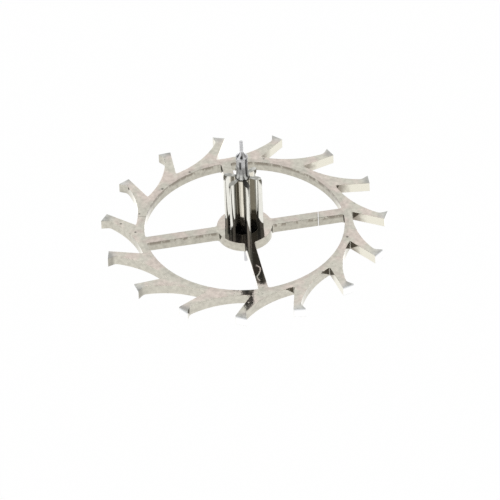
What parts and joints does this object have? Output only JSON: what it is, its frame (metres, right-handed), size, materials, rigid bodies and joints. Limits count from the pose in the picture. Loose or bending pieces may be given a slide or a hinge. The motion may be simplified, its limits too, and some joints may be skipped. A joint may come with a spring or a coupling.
{
  "type": "escape wheel",
  "caption": "Club-tooth steel escape wheel with slender crossings, staked on a leaved pinion with fine pivots at both ends.",
  "frame": {"origin": "end of the lower pivot, on the axis of the arbor", "axes": "+Z along the arbor towards the upper pivot, on the pinion's side of the wheel; seen from +Z the teeth lean clockwise; +X is the arbitrary direction that lies to the right in the picture"},
  "size_m": [0.008, 0.0079, 0.0043],
  "materials": {
    "wheel_steel": "flat-polished hardened steel, pale and slightly warm, with a few fine specks",
    "pinion_steel": "mirror-polished hardened steel"
  },
  "bodies": {
    "root": {"escape_wheel": "wheel_steel", "escape_pinion": "pinion_steel"}
  },
  "joints": []
}
